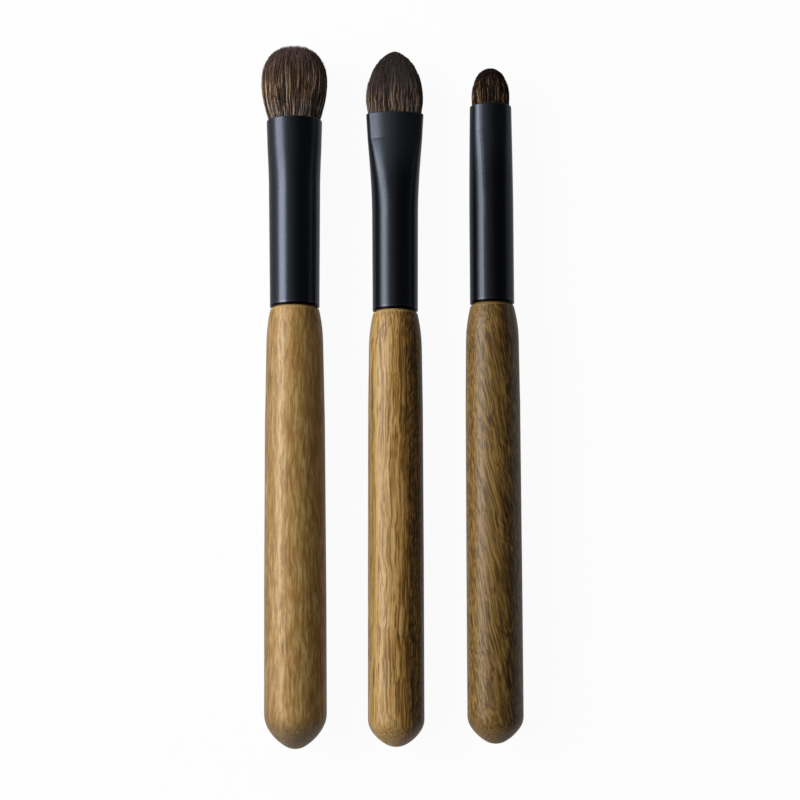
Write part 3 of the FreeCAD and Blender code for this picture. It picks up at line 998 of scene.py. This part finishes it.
@dataclass(frozen=True)
class Brush:
    """One brush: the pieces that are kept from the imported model, and the hair head."""

    kind: Kind
    axis: Axis
    wood: WoodFinish
    ferrule: FerruleFinish
    head: HairHead

    def dress(self, piece: str, material: bpy.types.Material) -> None:
        """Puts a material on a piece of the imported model.

        Args:
            piece: the piece's name without the brush's.
            material: the material.
        """
        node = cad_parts[f"{self.kind.value}_{piece}"]
        node.data.materials.clear()
        node.data.materials.append(material)
        LOG.info("%s: dressed with %s", node.name, material.name)

    def build(self) -> None:
        """Dresses the handle, the ferrule and what it closes in, and grows the hair."""
        finishes = {
            "handle": self.wood,
            "ferrule": self.ferrule,
            "binding_thread": THREAD,
            "root_glue": RESIN,
            "tenon_glue": ADHESIVE,
        }
        for piece, finish in finishes.items():
            self.dress(piece, finish.material(self.axis))
        self.head.build()


def add_object(data: bpy.types.ID) -> bpy.types.Object:
    """Puts a mesh, a lamp or a camera in the scene at the origin.

    Args:
        data: the mesh, lamp or camera.

    Returns:
        Its object, of the same name.
    """
    made = bpy.data.objects.new(data.name, data)
    bpy.context.scene.collection.objects.link(made)
    return made


@dataclass(frozen=True)
class Studio:
    """A white table, one soft lamp at the left, a dim room and the camera, in mm and degrees."""

    aim: Triple = (1.94, -2.15, 5.6)
    distance: float = 278.8
    tilt: float = 5.5
    lens: float = 65.25
    lamp_distance: float = 600.0
    lamp_height: float = 34.0
    lamp_size: tuple[float, float] = (500.0, 340.0)
    lamp_shift: float = 130.0
    lamp_power: float = 4.0
    dim_side: float = 0.06
    lit_side: float = 0.5
    far_side: float = 0.45
    floor_radius: float = 8000.0
    floor_drop: float = 0.02
    floor_paint: Colour = (0.9, 0.9, 0.9)
    floor_white: Colour = (1.0, 1.0, 1.0)
    floor_mirrored: Colour = (0.55, 0.55, 0.55)
    floor_glow: float = 0.95

    def camera(self) -> None:
        """Sets the camera above the brushes, a little on the side of their handles."""
        data = bpy.data.cameras.new("camera")
        data.lens = self.lens
        data.sensor_width = 36.0
        data.clip_start, data.clip_end = 0.01, 100.0
        turn = Matrix.Rotation(math.radians(self.tilt), 4, "X")
        made = add_object(data)
        spot = Vector(self.aim) + turn @ Vector((0.0, 0.0, self.distance))
        made.matrix_world = Matrix.Translation(spot * MM) @ turn
        bpy.context.scene.camera = made

    def lamp(self) -> None:
        """Sets a soft box beside the brushes, on their left and rather towards their heads."""
        data = bpy.data.lights.new("soft_box", "AREA")
        data.shape = "RECTANGLE"
        data.size, data.size_y = (side * MM for side in self.lamp_size)
        data.energy = self.lamp_power
        made = add_object(data)
        height = math.radians(self.lamp_height)
        way = Vector((-math.cos(height), 0.0, math.sin(height)))
        spot = (way * self.lamp_distance + Vector((0.0, self.lamp_shift, 0.0))) * MM
        turn = way.to_track_quat("Z", "Y").to_matrix().to_4x4()
        made.matrix_world = Matrix.Translation(spot) @ turn
        made.visible_camera = False

    def room(self) -> None:
        """Lights the surroundings: white at the horizon, dim overhead and dimmest on the right."""
        world = bpy.data.worlds.new("room")
        bpy.context.scene.world = world
        world.use_nodes = True
        sheet = Sheet(world.node_tree)
        way = sheet.node("ShaderNodeTexCoord", output="Generated")
        right, _, up = sheet.parts(way)
        overhead = self.dim_side + right.rise(0.5, -0.6) ** 1.5 * (self.lit_side - self.dim_side)
        horizon = self.far_side + right.rise(0.6, -0.6) * (1 - self.far_side)
        level = horizon - up.rise(0.03, 0.32) * (horizon - overhead)
        seen = sheet.node("ShaderNodeLightPath", output="Is Camera Ray")
        level = level + seen * (1 - level)
        sockets = {"Color": (1.0, 1.0, 1.0, 1.0), "Strength": level}
        light = sheet.node("ShaderNodeBackground", None, sockets)
        sheet.node("ShaderNodeOutputWorld", None, {"Surface": light})

    def floor(self) -> None:
        """Lays a white table that keeps a soft shadow and is dimmer in reflections."""
        mesh = bmesh.new()
        bmesh.ops.create_circle(mesh, cap_ends=True, segments=64, radius=self.floor_radius * MM)
        bmesh.ops.translate(mesh, vec=(0.0, 0.0, -self.floor_drop * MM), verts=mesh.verts)
        data = bpy.data.meshes.new("table")
        mesh.to_mesh(data)
        mesh.free()
        material, sheet = new_material("white_table")
        path = sheet.node("ShaderNodeLightPath", output="Is Camera Ray")
        mirrored = path.sibling("Is Glossy Ray")
        seen = path + mirrored + path.sibling("Is Transmission Ray")
        glow = sheet.mix(mirrored, self.floor_white, self.floor_mirrored)
        paint = {"Color": (*self.floor_paint, 1.0)}
        sockets = {
            "Fac": sheet.sum("MINIMUM", seen, 1.0) * self.floor_glow,
            "Shader": sheet.node("ShaderNodeBsdfDiffuse", None, paint),
            "Shader_001": sheet.node("ShaderNodeEmission", None, {"Color": glow, "Strength": 1.0}),
        }
        both = sheet.node("ShaderNodeMixShader", None, sockets)
        sheet.node("ShaderNodeOutputMaterial", None, {"Surface": both})
        data.materials.append(material)
        add_object(data)

    def build(self) -> None:
        """Sets up the whole studio."""
        bpy.context.scene.view_settings.view_transform = "Standard"
        self.camera()
        self.lamp()
        self.room()
        self.floor()
        LOG.info("studio is set")


def round_brush() -> Brush:
    """The brush with the wide domed head.

    Returns:
        The brush.
    """
    axis = Axis(-18.39, 15.52, 5.9, 0.5)
    wood = WoodFinish(
        name="round_wood",
        pale=(0.52, 0.345, 0.14),
        golden=(0.37, 0.205, 0.056),
        brown=(0.25, 0.128, 0.028),
        dark=(0.12, 0.057, 0.013),
        lines=Grain(0.42, 9.0, 0.22),
        flecks=Grain(0.5, 3.8, 0.37),
        patches=Grain(2.0, 9.0, 0.5),
        feather=Grain(0.5, 3.0, 0.1),
        feather_side=(1.0, 4.0),
        heart_and_shade_side=(-1.0, 6.0),
        heart_and_shade_depth=0.05,
        pores=0.3,
        streak=(-1.7, 0.7, 0.2),
        left_painted_shade=0.68,
        tip=-83.5,
        end_grain_and_shade=(0.12, 0.082, 0.042),
        end_shade_depth=0.85,
    )
    ferrule = FerruleFinish(
        name="round_ferrule_coat",
        coat=(0.042, 0.046, 0.057),
        rough=0.26,
        press_line=31.4,
        press_reach=0.6,
        press_depth=0.06,
        tick_pitch=0.5,
        mouth=37.0,
        mouth_painted_sheen=0.9,
    )
    hair = HairFinish(
        name="round_hair",
        dark=(0.035, 0.022, 0.017),
        brown=(0.11, 0.065, 0.042),
        tan=(0.34, 0.195, 0.085),
        grey=(0.52, 0.43, 0.36),
        tip=(0.098, 0.060, 0.058),
        tip_from=0.42,
        tip_to=0.85,
        tip_depth=0.8,
        foot_depth=0.75,
        gloss=1.16,
    )
    head = HairHead(
        kind=Kind.ROUND,
        axis=axis,
        finish=hair,
        mouth=37.0,
        mouth_half=(4.98, 4.11),
        belly=7.9,
        belly_half=(6.475, 5.0),
        length=15.5,
        bluntness=0.445,
        gather=0.8,
        count=3200,
        rings=8,
        trim=0.957,
        pale_bias=0.46,
        painted_side_shade=-0.26,
        seed=11,
    )
    return Brush(Kind.ROUND, axis, wood, ferrule, head)


def pointed_brush() -> Brush:
    """The brush with the flat pointed head.

    Returns:
        The brush.
    """
    axis = Axis(1.03, 14.84, 5.33, 0.15)
    wood = WoodFinish(
        name="pointed_wood",
        pale=(0.54, 0.36, 0.14),
        golden=(0.38, 0.205, 0.046),
        brown=(0.165, 0.08, 0.012),
        dark=(0.05, 0.024, 0.006),
        lines=Grain(0.33, 26.0, 0.5),
        flecks=Grain(0.45, 8.0, 0.2),
        patches=Grain(2.5, 20.0, 0.25),
        feather=Grain(0.34, 2.4, 0.42, 22.0),
        feather_side=(0.9, 2.4),
        heart_and_shade_side=(-1.2, 3.0),
        heart_and_shade_depth=0.42,
        pores=0.35,
        streak=(-2.9, 1.0, 0.14),
        left_painted_shade=0.5,
        tip=-82.5,
        end_grain_and_shade=(0.17, 0.105, 0.04),
        end_shade_depth=0.4,
    )
    ferrule = FerruleFinish(
        name="pointed_ferrule_coat",
        coat=(0.032, 0.036, 0.043),
        rough=0.28,
        press_line=34.1,
        press_reach=0.3,
        press_depth=0.4,
        tick_pitch=0.35,
        mouth=39.3,
        mouth_painted_sheen=1.9,
    )
    hair = HairFinish(
        name="pointed_hair",
        dark=(0.018, 0.014, 0.013),
        brown=(0.05, 0.036, 0.030),
        tan=(0.34, 0.19, 0.085),
        grey=(0.36, 0.29, 0.23),
        tip=(0.042, 0.034, 0.032),
        tip_from=0.25,
        tip_to=0.62,
        tip_depth=0.85,
        foot_depth=0.45,
        gloss=1.25,
    )
    head = HairHead(
        kind=Kind.POINTED,
        axis=axis,
        finish=hair,
        mouth=39.3,
        mouth_half=(5.2, 2.07),
        belly=2.9,
        belly_half=(5.56, 2.25),
        length=12.7,
        bluntness=0.575,
        gather=0.85,
        count=3200,
        rings=7,
        trim=1.0,
        pale_bias=0.35,
        painted_side_shade=-0.28,
        seed=23,
    )
    return Brush(Kind.POINTED, axis, wood, ferrule, head)


def pencil_brush() -> Brush:
    """The brush with the small dense head.

    Returns:
        The brush.
    """
    axis = Axis(19.78, 16.27, 5.3, 0.12)
    wood = WoodFinish(
        name="pencil_wood",
        pale=(0.27, 0.16, 0.042),
        golden=(0.15, 0.082, 0.015),
        brown=(0.08, 0.036, 0.005),
        dark=(0.026, 0.010, 0.002),
        lines=Grain(0.27, 13.0, 0.62, -13.0),
        flecks=Grain(0.42, 5.0, 0.24, -13.0),
        patches=Grain(2.2, 14.0, 0.3, -8.0),
        feather=Grain(0.4, 3.0, 0.3, -18.0),
        feather_side=(-1.0, 1.0),
        heart_and_shade_side=(-0.6, 2.6),
        heart_and_shade_depth=0.26,
        pores=0.35,
        streak=(-2.4, 1.2, 0.12),
        left_painted_shade=0.05,
        tip=-83.35,
        end_grain_and_shade=(0.09, 0.05, 0.014),
        end_shade_depth=0.25,
    )
    ferrule = FerruleFinish(
        name="pencil_ferrule_coat",
        coat=(0.028, 0.031, 0.038),
        rough=0.26,
        press_line=34.05,
        press_reach=0.6,
        press_depth=0.06,
        tick_pitch=0.5,
        mouth=39.35,
        mouth_painted_sheen=1.5,
    )
    hair = HairFinish(
        name="pencil_hair",
        dark=(0.009, 0.006, 0.005),
        brown=(0.024, 0.014, 0.010),
        tan=(0.36, 0.2, 0.09),
        grey=(0.34, 0.24, 0.15),
        tip=(0.010, 0.006, 0.006),
        tip_from=0.42,
        tip_to=0.9,
        tip_depth=0.85,
        foot_depth=0.0,
        gloss=1.14,
    )
    head = HairHead(
        kind=Kind.PENCIL,
        axis=axis,
        finish=hair,
        mouth=39.35,
        mouth_half=(3.63, 2.77),
        belly=1.95,
        belly_half=(3.68, 2.9),
        length=7.8,
        bluntness=0.457,
        gather=0.82,
        count=2600,
        rings=6,
        trim=0.99,
        pale_bias=0.3,
        painted_side_shade=0.16,
        seed=37,
    )
    return Brush(Kind.PENCIL, axis, wood, ferrule, head)


def main() -> None:
    """Builds the set in order and then the studio round it."""
    logging.basicConfig(level=logging.INFO, format="%(name)s: %(message)s")
    for brush in (round_brush(), pointed_brush(), pencil_brush()):
        brush.build()
    Studio().build()


if __name__ == "__main__":
    main()
